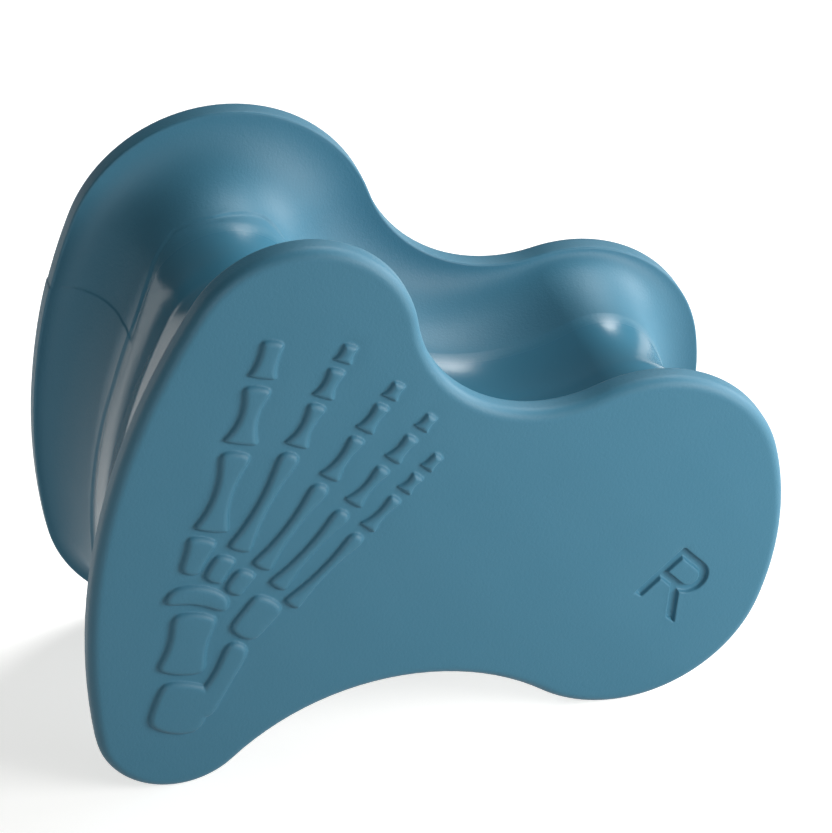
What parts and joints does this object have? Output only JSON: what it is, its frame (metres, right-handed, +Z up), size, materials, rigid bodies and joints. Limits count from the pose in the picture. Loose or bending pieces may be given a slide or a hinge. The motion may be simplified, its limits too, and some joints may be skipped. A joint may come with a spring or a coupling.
{
  "type": "toe spreader",
  "caption": "Soft silicone spool worn between toes: two upright bean-shaped flanges, a narrow waist between them, toe valleys on top and underneath.",
  "frame": {"origin": "middle of the footprint at the floor, where the rims of both lobes stand", "axes": "+Z up, -Y out of the front plate with the foot-bone figure, +X to the right seen from the front, from the tall lobe to the low one"},
  "size_m": [0.0462, 0.02, 0.038],
  "materials": {
    "silicone_blue": "matte, polished on the waist"
  },
  "bodies": {
    "root": {"spreader_body": "silicone_blue"}
  },
  "joints": []
}
